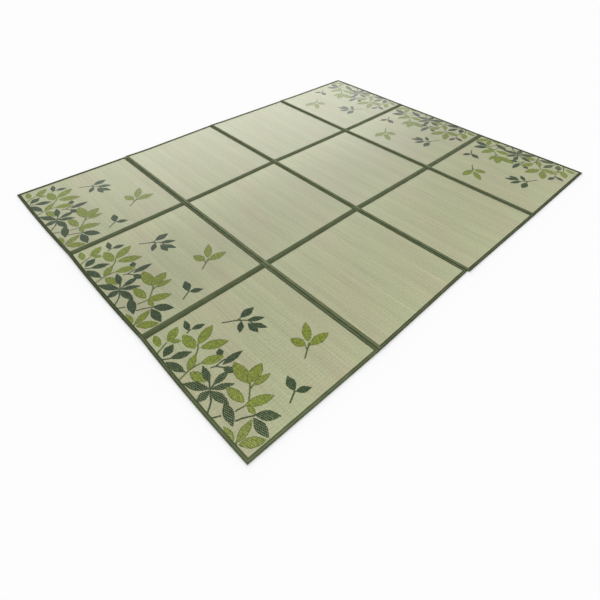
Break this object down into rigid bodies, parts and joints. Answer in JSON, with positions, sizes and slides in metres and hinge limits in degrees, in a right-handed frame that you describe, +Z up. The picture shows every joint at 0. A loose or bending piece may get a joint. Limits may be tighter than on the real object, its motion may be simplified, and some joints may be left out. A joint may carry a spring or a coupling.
{
  "type": "folding rush mat",
  "caption": "Woven rush floor mat of square panels with green cotton seam tapes, bound edges and a woven leaf border, laid open flat.",
  "frame": {"origin": "on the floor under the middle of the open mat's bounding box", "axes": "+X along the mat's length, across its folds; +Y across its width; +Z up from the floor through the mat's thickness"},
  "size_m": [2.3186, 1.822, 0.0085],
  "materials": {
    "plain_rush": "woven dried rush, slight sheen",
    "leaf_rush": "woven dried rush with dyed leaf motif, slight sheen",
    "seam_tape": "flat matt cotton tape",
    "binding": "folded matt cotton tape"
  },
  "bodies": {
    "root": {"panel_1_1": "leaf_rush", "panel_1_2": "leaf_rush", "panel_1_3": "leaf_rush", "seam_tape_1_1": "seam_tape", "seam_tape_1_2": "seam_tape", "end_binding_1_start": "binding", "end_binding_1_finish": "binding", "side_binding_1_left": "binding", "side_binding_1_right": "binding", "panel_2_1": "plain_rush", "panel_2_2": "plain_rush", "panel_2_3": "plain_rush", "seam_tape_2_1": "seam_tape", "seam_tape_2_2": "seam_tape", "end_binding_2_start": "binding", "end_binding_2_finish": "binding", "side_binding_2_left": "binding", "side_binding_2_right": "binding", "panel_3_1": "plain_rush", "panel_3_2": "plain_rush", "panel_3_3": "plain_rush", "seam_tape_3_1": "seam_tape", "seam_tape_3_2": "seam_tape", "end_binding_3_start": "binding", "end_binding_3_finish": "binding", "side_binding_3_left": "binding", "side_binding_3_right": "binding", "panel_4_1": "leaf_rush", "panel_4_2": "leaf_rush", "panel_4_3": "leaf_rush", "seam_tape_4_1": "seam_tape", "seam_tape_4_2": "seam_tape", "end_binding_4_start": "binding", "end_binding_4_finish": "binding", "side_binding_4_left": "binding", "side_binding_4_right": "binding"}
  },
  "joints": []
}
